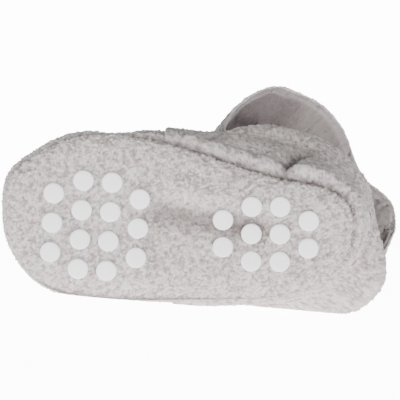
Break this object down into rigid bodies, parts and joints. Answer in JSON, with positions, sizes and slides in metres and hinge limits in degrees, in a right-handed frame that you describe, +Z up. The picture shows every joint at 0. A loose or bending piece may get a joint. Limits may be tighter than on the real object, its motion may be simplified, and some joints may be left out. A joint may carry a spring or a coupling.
{
  "type": "bootie slipper",
  "caption": "Soft fleece bootie slipper with a slack ankle collar, padded sole and round grip dots, lying on its outer side.",
  "frame": {"origin": "middle of the bounding box, on the floor that the shoe lies on", "axes": "+X from the toe to the heel, -Y out of the underside of the sole, +Z up from the floor to the shoe's inner side"},
  "size_m": [0.151, 0.0916, 0.086],
  "materials": {
    "grey_fleece": "nubby matte fleece",
    "lining_fleece": "smooth matte fleece",
    "grip_dot_silicone": "satin white silicone"
  },
  "bodies": {
    "root": {"sole": "grey_fleece", "insole": "lining_fleece", "upper": "grey_fleece", "grip_dot_01": "grip_dot_silicone", "grip_dot_02": "grip_dot_silicone", "grip_dot_03": "grip_dot_silicone", "grip_dot_04": "grip_dot_silicone", "grip_dot_05": "grip_dot_silicone", "grip_dot_06": "grip_dot_silicone", "grip_dot_07": "grip_dot_silicone", "grip_dot_08": "grip_dot_silicone", "grip_dot_09": "grip_dot_silicone", "grip_dot_10": "grip_dot_silicone", "grip_dot_11": "grip_dot_silicone", "grip_dot_12": "grip_dot_silicone", "grip_dot_13": "grip_dot_silicone", "grip_dot_14": "grip_dot_silicone", "grip_dot_15": "grip_dot_silicone", "grip_dot_16": "grip_dot_silicone", "grip_dot_17": "grip_dot_silicone", "grip_dot_18": "grip_dot_silicone", "grip_dot_19": "grip_dot_silicone", "grip_dot_20": "grip_dot_silicone", "grip_dot_21": "grip_dot_silicone", "grip_dot_22": "grip_dot_silicone", "grip_dot_23": "grip_dot_silicone", "grip_dot_24": "grip_dot_silicone"}
  },
  "joints": []
}
